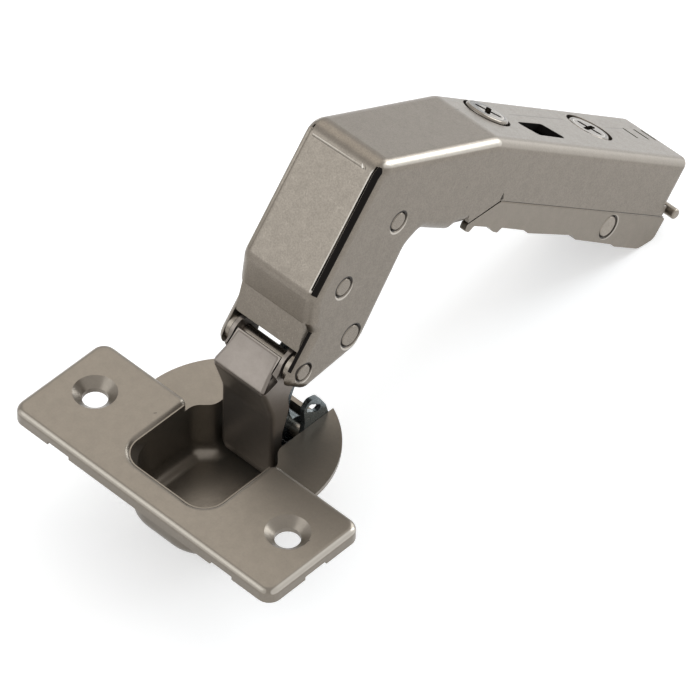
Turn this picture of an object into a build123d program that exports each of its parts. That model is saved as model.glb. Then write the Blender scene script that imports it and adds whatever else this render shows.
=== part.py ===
from build123d import *
import math
import os

os.makedirs("parts", exist_ok=True)

# Concealed cup hinge for a blind corner door, in the half-open pose.
# Origin: the cup's axis at the door's face. X runs along the pivots, Y towards
# the arm, Z out of the door. Millimetres.

# Sheet and fits
cup_sheet = 0.9            # pressed cup and flange
link_sheet = 1.2           # outer link
arm_sheet = 1.3            # arm casing
channel_sheet = 1.3        # mounting channel
run_fit = 0.05             # turning fit of a pin in an eye, on the radius
seat_fit = 0.03            # riveted pin in its plate, on the radius
body_gap = 0.3             # clearance between bodies that move past each other
face_gap = 0.05            # clearance between faces of one body
rivet_chamfer = 0.35       # bevel round a flush pin's end

# Cup and flange
cup_depth = 11.5
flange_half = 30.2
flange_front = -21.75
flange_back = 0.25
flange_rise = 2.8
flange_corner = 2.5
flange_edge = 1.15        # rolled edge round the flange and the recess
rim_radius = 18.7
screw_half = 22.5          # 45 mm between the screws
screw_line = -9.5
screw_hole_radius = 2.25
dimple_radius = 3.9
dimple_depth = 1.5
recess_half = 9.9
recess_front = -16.2
recess_back = 16.1
recess_corner = 4.2       # at the flange
recess_end_radius = 1.6    # where the recess leaves the flange's back edge
deep_corner = 7.0         # below the door's face, within the bore
throat_start = 1.2
throat_end = 3.8
throat_radius = 2.6
throat_corner = 4.0
floor_radius = 2.6
back_wall_top = -2.8
skirt_notch = 0.7          # relief cut in the skirt's lower edge
skirt_notch_length = 5.0
skirt_notch_at = 19.0

# Pivots, as (Y, Z), in the pose shown
outer_pivot = (7.5, -6.5)
inner_pivot = (12.6, -4.2)
nose_pivot = (8.62, 16.84)
link_pin_radius = 1.25
nose_pin_radius = 1.5
arm_pin_radius = 2.0       # in the cheeks
arm_pin_core = 1.3         # in the inner link's long eye

# Fold: turns of the links, in degrees of the outer link
fold_open = -62.28
fold_closed = 43.28
arm_ratio = -0.1
inner_ratio = 1.143

# Outer link
link_web_half = 4.9
link_top = (6.75, 19.3)
link_knee = (1.4, 14.7)
link_waist = (3.75, 7.3)
link_shin = (3.7, -6.5)
link_heel = (4.4, -8.6)
link_toe = (5.8, -9.8)
knee_radius = 1.6
link_edge = 0.9
knee_notch_radius = 1.4
nose_eye_radius = 3.3
foot_eye_radius = 2.6
spacer_radius = 1.7
washer_sheet = 0.85

# Springs and their housing
spring_wire = 0.75
release_turns = 6
closing_turns = 2
saddle_sheet = 0.9
housing_sheet = 0.95
closing_leg_reach = 5.4
release_leg_reach = 9.0
saddle_start = 3.8         # from the outer pin, clear of the link's toe
cheek_slot_at = (12.5, 4.4)
cheek_slot_turn = -35.0
cheek_slot_run = 2.2
cheek_slot_width = 1.5

# Inner link
inner_half = 2.5
inner_bar = 2.2
inner_eye_radius = 2.4
slot_wall = 1.1

# Arm, in its own plane: u along the mounting section, n out of it
arm_tilt = -38.95
arm_half = 8.5
arm_edge = 2.0
front_face = -8.0
front_top = 39.1
arm_top = 45.8
arm_fold = 24.4
arm_end = 89.2
seam_line = 34.8
front_slit = 0.3
front_slit_low = 14.6
arm_pin_at = (8.45, 7.43)
upper_rivet_at = (5.0, 29.2)
middle_rivet_at = (-1.2, 16.3)
rivet_radius = 1.65
rivet_body_radius = 2.6
washer_radius = 2.9
bush_radius = 3.0

# Screws in the arm's top, as (u, x)
side_screw_at = (34.1, -2.2)
side_screw_hole = 4.5
side_screw_head = 4.0
side_screw_shank = 2.2
window_points = [(40.7, 0.1), (42.3, -4.3), (51.2, -4.5), (49.7, 0.4)]
groove_places = [81.5, 85.4, 88.0]
groove_middle = 0.95
groove_length = 3.6
groove_width = 0.6
groove_depth = 0.4
depth_cam_at = (67.6, -1.25)
depth_cam_hole = 4.5
depth_cam_radius = 4.0
collar_radius = 4.95       # keeps either screw under the skin
side_screw_top = 46.3
side_screw_length = 2.6
screw_turn = 30.0
cross_size = 5.0
cross_width = 1.0
cross_depth = 1.3
cam_pin_radius = 1.5
cam_pin_offset = 2.0
cam_slot_half = 3.9
depth_travel = 3.0         # the channel's way out of the casing

# Mounting channel and release lever
channel_top = 43.7
channel_start = 33.5
channel_slope = 6.0        # the front end leans back, clear of the side screw
channel_side_gap = 0.35    # to the casing's cheeks
channel_end = 86.0
joggle_low = 32.9
release_at = (72.6, 31.8)
release_rivet_radius = 2.0
lever_inner_half = 3.8
lever_sheet = 1.2
lever_hub = 3.3
lever_tip = 2.2
release_bar_at = (91.3, 35.9)
release_bar_radius = 1.0
release_bar_half = 9.6

# Widths that follow from the arm's
link_half = arm_half - arm_sheet - face_gap - washer_sheet - body_gap
throat_half = link_half + body_gap + housing_sheet + face_gap
channel_inner_half = arm_half - arm_sheet - channel_side_gap

tilt = math.radians(arm_tilt)
arm_plane = Plane(
    origin=(0, nose_pivot[0], nose_pivot[1]),
    x_dir=(0, math.cos(tilt), math.sin(tilt)),
    z_dir=(1, 0, 0),
)
top_plane = Plane(
    origin=arm_plane.from_local_coords((0, arm_top, 0)),
    x_dir=arm_plane.x_dir,
    z_dir=arm_plane.y_dir,
)


def arm_point(u, n):
    """(Y, Z) of a point given in the arm's own plane."""
    at = arm_plane.from_local_coords((u, n, 0))
    return (at.Y, at.Z)


def turned(point, centre, degrees):
    """A (Y, Z) point turned about a centre."""
    a = math.radians(degrees)
    y = point[0] - centre[0]
    z = point[1] - centre[1]
    return (
        centre[0] + y * math.cos(a) - z * math.sin(a),
        centre[1] + y * math.sin(a) + z * math.cos(a),
    )


def past(start, end):
    """The point as far beyond the end of a line again as it is long."""
    return (2 * end[0] - start[0], 2 * end[1] - start[1])


def profile(points, radii):
    """A closed outline with a rounded corner at each point."""
    with BuildSketch() as outline:
        with BuildLine():
            FilletPolyline(*points, radius=radii, close=True)
        make_face()
    return outline.sketch


def pin(at, radius, half):
    """A straight pin along X through a (Y, Z) point."""
    with BuildPart() as body:
        with BuildSketch(Plane.YZ):
            with Locations(at):
                Circle(radius)
        extrude(amount=half, both=True)
    return body.part


def ring(at, radius, hole, start, end):
    """A washer or sleeve round an axis along X, between two X values."""
    with BuildPart() as body:
        with BuildSketch(Plane.YZ.offset(start)):
            with Locations(at):
                Circle(radius)
                Circle(hole, mode=Mode.SUBTRACT)
        extrude(amount=end - start)
    return body.part


def bevelled_bore(at, radius, half):
    """What a bore along X takes away, with a bevel where it comes out."""
    with BuildPart() as body:
        with BuildSketch(Plane.YZ):
            with Locations(at):
                Circle(radius)
        extrude(amount=half + 1, both=True)
        for side in (-1, 1):
            with Locations(Plane(origin=(side * half, *at), z_dir=(-side, 0, 0))):
                Cone(
                    radius + rivet_chamfer,
                    radius,
                    rivet_chamfer,
                    align=(Align.CENTER, Align.CENTER, Align.MIN),
                )
    return body.part


# Cup: pressed flange, round rim and a recess that narrows to the throat


def recess_outline(front_radius):
    """The recess in plan: wide at the front, with a narrow throat behind."""
    half = [
        (recess_half, recess_front),
        (recess_half, throat_start),
        (throat_half, throat_end),
        (throat_half, recess_back),
    ]
    mirrored = [(-x, y) for x, y in reversed(half)]
    radii = [front_radius, throat_radius, throat_radius, throat_corner]
    return profile(half + mirrored, radii + radii[::-1])


flange_mid = (flange_front + flange_back) / 2
flange_width = flange_back - flange_front

with BuildPart() as cup_body:
    with BuildSketch(Plane.XY.offset(-cup_depth)):
        add(recess_outline(deep_corner))
        offset(amount=cup_sheet, kind=Kind.ARC)
    extrude(amount=cup_depth + cup_sheet)
    fillet(cup_body.faces().sort_by(Axis.Z)[0].edges(), floor_radius + cup_sheet / 2)

with BuildPart() as hollow:
    with BuildSketch(Plane.XY.offset(cup_sheet - cup_depth)):
        add(recess_outline(deep_corner))
    extrude(amount=cup_depth - cup_sheet + flange_rise)
    fillet(hollow.faces().sort_by(Axis.Z)[0].edges(), floor_radius)

plate_side = [
    (flange_half, flange_front),
    (flange_half, flange_back),
    (recess_half, flange_back),
    (recess_half, recess_front),
]
plate_points = plate_side + [(-x, y) for x, y in reversed(plate_side)]
plate_radii = [flange_corner, flange_corner, recess_end_radius, recess_corner]

with BuildPart() as hinge_cup:
    with BuildSketch():
        add(profile(plate_points, plate_radii + plate_radii[::-1]))
    extrude(amount=flange_rise)
    fillet(hinge_cup.faces().sort_by(Axis.Z)[-1].edges(), flange_edge)
    with BuildSketch():
        with Locations((0, flange_mid)):
            RectangleRounded(
                2 * (flange_half - cup_sheet),
                flange_width - 2 * cup_sheet,
                flange_corner - cup_sheet,
            )
    extrude(amount=flange_rise - cup_sheet, mode=Mode.SUBTRACT)
    # round rim behind the flange
    with BuildSketch():
        Circle(rim_radius)
        with Locations((0, -rim_radius + flange_back - cup_sheet)):
            Rectangle(2 * rim_radius, 2 * rim_radius, mode=Mode.SUBTRACT)
    extrude(amount=cup_sheet)
    add(cup_body.part)
    # wall of the opening above the door's face
    with BuildSketch():
        add(recess_outline(recess_corner))
        offset(amount=cup_sheet, kind=Kind.ARC)
        with Locations((0, flange_mid)):
            Rectangle(4 * recess_half, flange_width - 2 * flange_edge, mode=Mode.INTERSECT)
    extrude(amount=flange_rise - cup_sheet / 2)
    # conical dimples round the screw holes
    for side in (-1, 1):
        with Locations((side * screw_half, screw_line, flange_rise - cup_sheet / 2)):
            Cone(
                screw_hole_radius + cup_sheet,
                dimple_radius + cup_sheet,
                dimple_depth + cup_sheet / 2,
                align=(Align.CENTER, Align.CENTER, Align.MAX),
            )
        with Locations((side * screw_half, screw_line, flange_rise)):
            Cone(
                screw_hole_radius,
                dimple_radius,
                dimple_depth,
                align=(Align.CENTER, Align.CENTER, Align.MAX),
                mode=Mode.SUBTRACT,
            )
            Cylinder(screw_hole_radius, 4 * flange_rise, mode=Mode.SUBTRACT)
    # the recess, open above
    add(hollow.part, mode=Mode.SUBTRACT)
    with BuildSketch():
        add(recess_outline(deep_corner))
    with BuildSketch(Plane.XY.offset(flange_rise - flange_edge)):
        add(recess_outline(recess_corner))
    loft(mode=Mode.SUBTRACT)
    with BuildSketch(Plane.XY.offset(flange_rise - flange_edge)):
        add(recess_outline(recess_corner))
    extrude(amount=flange_edge, mode=Mode.SUBTRACT)
    # the throat's back wall is cut down for the links at full opening
    with Locations((0, recess_back, back_wall_top)):
        Box(
            2 * throat_half,
            2 * (rim_radius - recess_back + 1.4),
            -back_wall_top + 2,
            align=(Align.CENTER, Align.CENTER, Align.MIN),
            mode=Mode.SUBTRACT,
        )
    # small relief cuts in the skirt's lower edge
    with Locations(
        (-flange_half, flange_mid),
        (flange_half, flange_mid),
        (-skirt_notch_at, flange_front),
        (skirt_notch_at, flange_front),
    ):
        Box(skirt_notch_length, skirt_notch_length, 2 * skirt_notch, mode=Mode.SUBTRACT)
    for at in (outer_pivot, inner_pivot):
        with BuildSketch(Plane.YZ):
            with Locations(at):
                Circle(link_pin_radius + seat_fit)
        extrude(amount=throat_half + 2 * cup_sheet, both=True, mode=Mode.SUBTRACT)
hinge_cup.part.label = "hinge_cup"
export_step(hinge_cup.part, "parts/hinge_cup.step")

# Pins riveted flush into the throat's walls
pin_half = throat_half + cup_sheet - face_gap
outer_link_pin = pin(outer_pivot, link_pin_radius, pin_half)
outer_link_pin.label = "outer_link_pin"
export_step(outer_link_pin, "parts/outer_link_pin.step")
inner_link_pin = pin(inner_pivot, link_pin_radius, pin_half)
inner_link_pin.label = "inner_link_pin"
export_step(inner_link_pin, "parts/inner_link_pin.step")

# Spacers beside the outer link's feet
for name, side in (("left", -1), ("right", 1)):
    ends = sorted((side * (link_half + body_gap), side * (throat_half - face_gap)))
    spacer = ring(
        outer_pivot,
        spacer_radius,
        link_pin_radius + face_gap,
        ends[0],
        ends[1],
    )
    spacer.label = f"link_spacer_{name}"
    export_step(spacer, f"parts/link_spacer_{name}.step")

# Outer link: a bent channel with a web in front and a flange on each side
link_front = [link_top, link_knee, link_waist, link_shin, link_heel, link_toe]
link_back = [
    (outer_pivot[0] + 1.2, outer_pivot[1] - foot_eye_radius + 0.2),
    (outer_pivot[0] + foot_eye_radius, outer_pivot[1]),
    (outer_pivot[0] + 0.6, outer_pivot[1] + foot_eye_radius + 0.4),
    (5.95, -0.9),
    (6.3, 2.2),
    (7.8, 7.0),
    (7.5, 10.3),
    (nose_pivot[0] + nose_eye_radius, nose_pivot[1] - 1.6),
    (nose_pivot[0] + 1.4, nose_pivot[1] + nose_eye_radius),
    (8.0, 20.1),
]
front_radii = [0, knee_radius, 6.0, 3.0, 1.6, 0]
back_radii = [0.6, 2.4, 1.6, 2.0, 4.0, 2.0, 2.5, 2.4, 2.2, 0.4]

with BuildPart() as outer_link:
    with BuildSketch(Plane.YZ):
        add(profile(link_front + link_back, front_radii + back_radii))
        with Locations(outer_pivot):
            Circle(foot_eye_radius)
        with Locations(nose_pivot):
            Circle(nose_eye_radius)
    extrude(amount=link_half, both=True)
    # rolled edges between the web and its flanges
    front_edges = (
        outer_link.edges()
        .filter_by(lambda e: abs(abs(e.center().X) - link_half) < 1e-3)
        .filter_by(lambda e: e.center().Y < 4.6 and -8 < e.center().Z < link_top[1] - 1)
    )
    fillet(front_edges, link_edge)
    # open back, between the flanges
    with BuildSketch(Plane.YZ):
        with BuildLine():
            FilletPolyline(
                past(link_knee, link_top),
                link_knee,
                link_waist,
                link_shin,
                link_heel,
                past(link_heel, link_toe),
                (40, past(link_heel, link_toe)[1]),
                (40, past(link_knee, link_top)[1]),
                radius=[0, knee_radius, 6.0, 3.0, 1.6, 0, 0, 0],
                close=True,
            )
        make_face()
        offset(amount=-link_sheet, kind=Kind.INTERSECTION)
    extrude(amount=link_half - link_sheet, both=True, mode=Mode.SUBTRACT)
    # round relief notches at the two ends of the knee
    for side in (-1, 1):
        with Locations(
            Plane(
                origin=(side * (link_web_half + 0.6), link_knee[0] - 1, link_knee[1] + 0.6),
                z_dir=(0, 1, 0.35),
            )
        ):
            Cylinder(
                knee_notch_radius,
                4.4,
                align=(Align.CENTER, Align.CENTER, Align.MIN),
                mode=Mode.SUBTRACT,
            )
        # the gap between the upper web and the flange beside it
        with BuildSketch(Plane.YZ.offset(side * (link_web_half + 0.05))):
            with BuildLine():
                Polyline(
                    (link_top[0] - 2, link_top[1] + 1.8),
                    (link_knee[0] - 2.0, link_knee[1] + 0.2),
                    (link_knee[0] + 2.2, link_knee[1] + 0.6),
                    (link_top[0] + 1.4, link_top[1] - 0.6),
                    (link_top[0] + 1.4, link_top[1] + 1.8),
                    close=True,
                )
            make_face()
        extrude(amount=0.3 * side, mode=Mode.SUBTRACT)
    # the upper web ends square, and only the flanges reach round the nose pin
    rise = math.dist(link_knee, link_top)
    way = ((link_top[0] - link_knee[0]) / rise, (link_top[1] - link_knee[1]) / rise)
    with BuildSketch(Plane.YZ):
        with BuildLine():
            Polyline(
                [
                    (at[0] + along * way[0] - out * way[1], at[1] + along * way[1] + out * way[0])
                    for at, along, out in (
                        (link_knee, 2, 0),
                        (link_knee, 2, nose_eye_radius),
                        (link_top, 2 * nose_eye_radius, nose_eye_radius),
                        (link_top, 2 * nose_eye_radius, -2 * nose_eye_radius),
                        (link_top, 0, -2 * nose_eye_radius),
                        (link_top, 0, 0),
                    )
                ],
                close=True,
            )
        make_face()
    extrude(amount=link_web_half + 0.05, both=True, mode=Mode.SUBTRACT)
    for at, radius in ((outer_pivot, link_pin_radius), (nose_pivot, nose_pin_radius)):
        with BuildSketch(Plane.YZ):
            with Locations(at):
                Circle(radius + run_fit)
        extrude(amount=2 * link_half, both=True, mode=Mode.SUBTRACT)
outer_link.part.label = "outer_link"
export_step(outer_link.part, "parts/outer_link.step")

# Inner link: a cast gooseneck, with a long eye in which the arm's pin slides
arm_pin = arm_point(*arm_pin_at)
bar_length = math.dist(inner_pivot, arm_pin)
bar_angle = math.degrees(math.atan2(arm_pin[1] - inner_pivot[1], arm_pin[0] - inner_pivot[0]))
bar_plane = Plane(
    origin=(0, *inner_pivot),
    x_dir=(0, math.cos(math.radians(bar_angle)), math.sin(math.radians(bar_angle))),
    z_dir=(1, 0, 0),
)


def pin_seen_from_inner_link(fold):
    """Where the arm's pin lies in the inner link's own plane at a given fold."""
    nose = turned(nose_pivot, outer_pivot, fold)
    reach = turned(arm_pin, nose_pivot, fold * (1 + arm_ratio))
    at = (reach[0] + nose[0] - nose_pivot[0], reach[1] + nose[1] - nose_pivot[1])
    back = turned(at, inner_pivot, -fold * inner_ratio)
    local = bar_plane.to_local_coords(Vector(0, *back))
    return (local.X, local.Y)


fold_steps = [fold_open, fold_open / 2, 0, fold_closed / 2, fold_closed]
slide_path = [pin_seen_from_inner_link(fold) for fold in fold_steps]


def slide_hull(radius):
    """The area that a round pin of this radius sweeps over in the long eye."""
    with BuildSketch() as area:
        with BuildLine():
            for at in slide_path:
                CenterArc(at, radius, 0, 360)
        make_hull()
    return area.sketch


slot_radius = arm_pin_core + body_gap
with BuildPart() as inner_link:
    with BuildSketch(bar_plane):
        with BuildLine():
            Spline(
                (0, 0),
                (3.1, 3.1),
                (5.8, 4.1),
                (bar_length * 0.55, 3.6),
                (bar_length, -0.4),
                tangents=[(0.6, 0.75), (1, -0.3)],
            )
        trace(line_width=inner_bar)
        Circle(inner_eye_radius)
        add(slide_hull(slot_radius + slot_wall))
    extrude(amount=inner_half, both=True)
    with BuildSketch(bar_plane):
        Circle(link_pin_radius + run_fit)
        add(slide_hull(slot_radius))
    extrude(amount=2 * inner_half, both=True, mode=Mode.SUBTRACT)
inner_link.part.label = "inner_link"
export_step(inner_link.part, "parts/inner_link.step")

# Arm casing: one folded sheet with a top skin, a front plate and two cheeks
side_outline = [
    (front_face, front_top),
    (arm_fold, arm_top),
    (arm_end, arm_top),
    (arm_end, seam_line),
    (33.1, seam_line),
    (26.0, 29.8),
    (23.1, 29.05),
    (21.9, 28.0),
    (13.2, 27.8),
    (11.5, 24.9),
    (12.6, 7.8),
    (12.3, 5.1),
    (3.4, -3.6),
    (-2.6, -3.3),
    (-3.05, -0.9),
    (-3.05, 7.0),
    (-4.9, 8.2),
    (front_face, 13.3),
]
side_radii = [3.5, 6, 0.4, 0.4, 0.8, 1.2, 0.5, 0.8, 1.6, 3, 4, 3, 1.4, 1.8, 1, 0.5, 0.8, 3]
skin_outline = [
    (-4.9, 8.2),
    (front_face, 13.3),
    (front_face, front_top),
    (arm_fold, arm_top),
    (2 * arm_end, arm_top),
    (2 * arm_end, -20),
    (60, -60),
    (0, -60),
    (0.4, -9.5),
]
skin_radii = [3, 3, 3.5, 6, 0, 0, 0, 0, 0]
lip_low = (-2.65, 2.95)
lip_high = (-4.9, 8.2)

with BuildPart() as arm_casing:
    with BuildSketch(arm_plane):
        add(profile(side_outline, side_radii))
    extrude(amount=arm_half, both=True)
    # rolled long edges from the first fold to the end
    long_edges = (
        arm_casing.edges()
        .filter_by(lambda e: abs(abs(e.center().X) - arm_half) < 1e-3)
        .filter_by(lambda e: arm_plane.to_local_coords(e.center()).Y > front_top - 1.5)
        .filter_by(lambda e: arm_plane.to_local_coords(e.center()).X < arm_end - 1)
    )
    fillet(long_edges, arm_edge)
    # hollow between the cheeks
    with BuildSketch(arm_plane):
        add(profile(skin_outline, skin_radii))
        offset(amount=-arm_sheet, kind=Kind.INTERSECTION)
    extrude(amount=arm_half - arm_sheet, both=True, mode=Mode.SUBTRACT)
    with BuildSketch(arm_plane):
        with BuildLine():
            Polyline((-12, -12), (14, -12), (14, 2), (0, 8.2), (-4.2, 8.2), (-12, 7.0), close=True)
        make_face()
    extrude(amount=arm_half - arm_sheet, both=True, mode=Mode.SUBTRACT)
    # turned-in lower lip of the front plate
    lip_turn = math.atan2(lip_low[1] - lip_high[1], lip_low[0] - lip_high[0])
    lip_in = (-arm_sheet * math.sin(lip_turn), arm_sheet * math.cos(lip_turn))
    with BuildSketch(arm_plane):
        with BuildLine():
            Polyline(
                (lip_high[0] - 0.3, lip_high[1] + 0.7),
                lip_low,
                (lip_low[0] + lip_in[0], lip_low[1] + lip_in[1]),
                (lip_high[0] - 0.3 + lip_in[0], lip_high[1] + 0.7 + lip_in[1]),
                close=True,
            )
        make_face()
    extrude(amount=arm_half - arm_sheet, both=True)
    # slits that part the front plate from the cheeks
    slit_low = front_slit_low
    for side in (-1, 1):
        with BuildSketch(arm_plane.offset(side * (arm_half - arm_sheet))):
            with BuildLine():
                Polyline(
                    (front_face - 2, slit_low),
                    (front_face + arm_sheet + 0.2, slit_low),
                    (front_face + arm_sheet + 0.2, front_top - 1.0),
                    (front_face - 2, front_top - 1.0),
                    close=True,
                )
            make_face()
        extrude(amount=-side * front_slit, mode=Mode.SUBTRACT)
    for at, radius in (
        (nose_pivot, nose_pin_radius),
        (arm_pin, arm_pin_radius),
        (arm_point(*upper_rivet_at), rivet_radius),
        (arm_point(*middle_rivet_at), rivet_radius),
    ):
        add(bevelled_bore(at, radius + seat_fit, arm_half), mode=Mode.SUBTRACT)
    # openings in the top skin
    with BuildSketch(top_plane):
        with Locations((side_screw_at[0], -side_screw_at[1])):
            Circle(side_screw_hole)
        with Locations((depth_cam_at[0], -depth_cam_at[1])):
            Circle(depth_cam_hole)
        add(profile(window_points, 0.8))
    extrude(amount=-2 * arm_sheet, mode=Mode.SUBTRACT)
    # three pressed grooves near the end
    with BuildSketch(top_plane):
        for u in groove_places:
            with Locations((u, groove_middle)):
                SlotOverall(groove_length, groove_width, rotation=90)
    extrude(amount=-groove_depth, mode=Mode.SUBTRACT)
arm_casing.part.label = "arm_casing"
export_step(arm_casing.part, "parts/arm_casing.step")


# Pins and rivets held in the cheeks
cheek_inner = arm_half - arm_sheet
pin_reach = arm_half - face_gap


def stepped_pin(at, radius, core, reach, core_half):
    """A riveted pin with a middle part of another thickness."""
    with BuildPart() as body:
        add(pin(at, radius, reach))
        if core < radius:
            add(pin(at, radius + 1, core_half), mode=Mode.SUBTRACT)
        add(pin(at, core, core_half))
        chamfer(
            body.edges()
            .filter_by(GeomType.CIRCLE)
            .filter_by(lambda e: abs(abs(e.center().X) - reach) < 1e-3),
            0.15,
        )
    return body.part


arm_pins = {
    "nose_pin": stepped_pin(nose_pivot, nose_pin_radius, nose_pin_radius, pin_reach, 1),
    "inner_arm_pin": stepped_pin(
        arm_pin, arm_pin_radius, arm_pin_core, pin_reach, inner_half + body_gap
    ),
    "upper_rivet": stepped_pin(
        arm_point(*upper_rivet_at),
        rivet_radius,
        rivet_body_radius,
        pin_reach,
        cheek_inner - face_gap,
    ),
    "middle_rivet": stepped_pin(
        arm_point(*middle_rivet_at),
        rivet_radius,
        rivet_body_radius,
        pin_reach,
        cheek_inner - face_gap,
    ),
}
for name, body in arm_pins.items():
    body.label = name
    export_step(body, f"parts/{name}.step")

# Washers beside the outer link and bushes beside the inner one
for name, side in (("left", -1), ("right", 1)):
    ends = sorted((side * (link_half + body_gap), side * (cheek_inner - face_gap)))
    washer = ring(nose_pivot, washer_radius, nose_pin_radius + face_gap, ends[0], ends[1])
    washer.label = f"nose_washer_{name}"
    export_step(washer, f"parts/nose_washer_{name}.step")
    ends = sorted((side * (inner_half + body_gap), side * (cheek_inner - face_gap)))
    bush = ring(arm_pin, bush_radius, arm_pin_radius + face_gap, ends[0], ends[1])
    bush.label = f"inner_bush_{name}"
    export_step(bush, f"parts/inner_bush_{name}.step")

# Mounting channel: joggled sides, flush with the casing below its seam
band_outline = [
    (26.9, 28.5),
    (28.3, 28.4),
    (28.9, 29.65),
    (33.7, 29.7),
    (35.8, 28.9),
    (37.3, 28.8),
    (38.0, 29.8),
    (45.7, 29.7),
    (47.2, 29.2),
    (62.2, 29.6),
    (63.7, 28.8),
    (76.5, 28.5),
    (78.0, 28.1),
    (86.4, 28.1),
    (90.0, 30.2),
    (90.2, seam_line - body_gap),
    (33.2, seam_line - body_gap),
    (26.6, 29.75),
]
band_radii = [0.4, 0.6, 0.6, 1, 0.8, 0.5, 0.6, 1, 1, 1, 1, 2, 1, 3, 1.5, 0.4, 0.6, 0.4]
band_inner = arm_half - channel_sheet
with BuildPart() as mounting_channel:
    # outer bands
    with BuildSketch(arm_plane):
        add(profile(band_outline, band_radii))
    extrude(amount=arm_half - face_gap, both=True)
    with BuildSketch(arm_plane):
        with Locations(((channel_start + channel_end) / 2, joggle_low - 20)):
            Rectangle(4 * arm_half + channel_end, 40)
    extrude(amount=band_inner, both=True, mode=Mode.SUBTRACT)
    with BuildSketch(arm_plane):
        with BuildLine():
            Polyline(
                (channel_start - 10, joggle_low - 1),
                (channel_start, joggle_low - 1),
                (channel_start, seam_line + 1),
                (channel_start - 10, seam_line + 1),
                close=True,
            )
            Polyline(
                (channel_end, joggle_low - 1),
                (channel_end + 10, joggle_low - 1),
                (channel_end + 10, seam_line + 1),
                (channel_end, seam_line + 1),
                close=True,
            )
        make_face()
    extrude(amount=band_inner, both=True, mode=Mode.SUBTRACT)
    # inner channel
    with BuildSketch(arm_plane):
        with BuildLine():
            FilletPolyline(
                (channel_start, joggle_low),
                (channel_end, joggle_low),
                (channel_end, channel_top),
                (channel_start + channel_slope, channel_top),
                (channel_start, channel_top - channel_slope),
                radius=[0, 0, 2, 3, 2],
                close=True,
            )
        make_face()
    extrude(amount=channel_inner_half, both=True)
    channel_edges = (
        mounting_channel.edges()
        .filter_by(lambda e: abs(abs(e.center().X) - channel_inner_half) < 1e-3)
        .filter_by(lambda e: arm_plane.to_local_coords(e.center()).Y > channel_top - 0.1)
    )
    fillet(channel_edges, 1.2)
    with BuildSketch(arm_plane):
        with Locations(((channel_start + channel_end) / 2, (channel_top - channel_sheet) / 2)):
            Rectangle(2 * channel_end, channel_top - channel_sheet)
    extrude(amount=channel_inner_half - channel_sheet, both=True, mode=Mode.SUBTRACT)
    # slot of the cam's pin, and the window
    with BuildSketch(top_plane):
        with Locations((depth_cam_at[0] - depth_travel / 2, -depth_cam_at[1])):
            SlotOverall(2 * cam_slot_half, 2 * (cam_pin_radius + body_gap), rotation=90)
        add(profile(window_points, 0.8))
    extrude(amount=-(arm_top - channel_top) - 2 * channel_sheet, mode=Mode.SUBTRACT)
    release_place = arm_point(*release_at)
    add(
        bevelled_bore(release_place, release_rivet_radius + seat_fit, arm_half - face_gap),
        mode=Mode.SUBTRACT,
    )
mounting_channel.part.label = "mounting_channel"
export_step(mounting_channel.part, "parts/mounting_channel.step")

# Side screw and depth cam in the casing's top, each held by a collar below it
skin_inner = arm_top - arm_sheet
collar_top = skin_inner - face_gap
collar_low = channel_top + body_gap
cam_pin_side = math.sqrt(cam_pin_offset**2 - (depth_travel / 2) ** 2)


def cross_recess(size, width, depth):
    """The cross in a screw's head, cut from a plane."""
    with BuildPart() as body:
        for turn in (0, 90):
            with BuildSketch():
                SlotOverall(size, width, rotation=turn)
            extrude(amount=-depth)
    return body.part


with BuildPart() as side_screw:
    with BuildSketch(Plane.XY.offset(collar_low)):
        Circle(collar_radius)
    extrude(amount=collar_top - collar_low)
    with BuildSketch(Plane.XY.offset(collar_low)):
        Circle(side_screw_head)
    extrude(amount=side_screw_top - collar_low)
    fillet(side_screw.faces().sort_by(Axis.Z)[-1].edges(), 0.5)
    with BuildSketch(Plane.XY.offset(collar_low)):
        Circle(side_screw_shank)
    extrude(amount=-side_screw_length)
    chamfer(side_screw.faces().sort_by(Axis.Z)[0].edges(), 0.4)
    with Locations(Location((0, 0, side_screw_top), (0, 0, screw_turn))):
        add(cross_recess(cross_size, cross_width, cross_depth), mode=Mode.SUBTRACT)

with BuildPart() as depth_cam:
    with BuildSketch(Plane.XY.offset(collar_low)):
        Circle(collar_radius)
    extrude(amount=collar_top - collar_low)
    with BuildSketch(Plane.XY.offset(collar_low)):
        Circle(depth_cam_radius)
    extrude(amount=arm_top - face_gap - collar_low)
    chamfer(depth_cam.faces().sort_by(Axis.Z)[-1].edges(), 0.3)
    with BuildSketch(Plane.XY.offset(collar_low)):
        with Locations((-depth_travel / 2, -cam_pin_side)):
            Circle(cam_pin_radius)
    extrude(amount=-(body_gap + channel_sheet + 0.8))
    with Locations(Location((0, 0, arm_top - face_gap), (0, 0, 45 - screw_turn))):
        add(cross_recess(cross_size, cross_width, cross_depth), mode=Mode.SUBTRACT)


def set_in_top(body, at):
    """A turned piece moved from its own axis to its place in the arm's top."""
    base = Plane(
        origin=arm_plane.from_local_coords((at[0], 0, at[1])),
        x_dir=top_plane.x_dir,
        z_dir=top_plane.z_dir,
    )
    return base.location * body


placed_screw = set_in_top(side_screw.part, side_screw_at)
placed_screw.label = "side_screw"
export_step(placed_screw, "parts/side_screw.step")
placed_cam = set_in_top(depth_cam.part, depth_cam_at)
placed_cam.label = "depth_cam"
export_step(placed_cam, "parts/depth_cam.step")

# Release lever: two arms on a rivet, a web between them and a cross bar
release_rivet = stepped_pin(
    release_place,
    release_rivet_radius,
    release_rivet_radius,
    arm_half - 2 * face_gap,
    1,
)
release_rivet.label = "release_rivet"
export_step(release_rivet, "parts/release_rivet.step")

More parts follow.
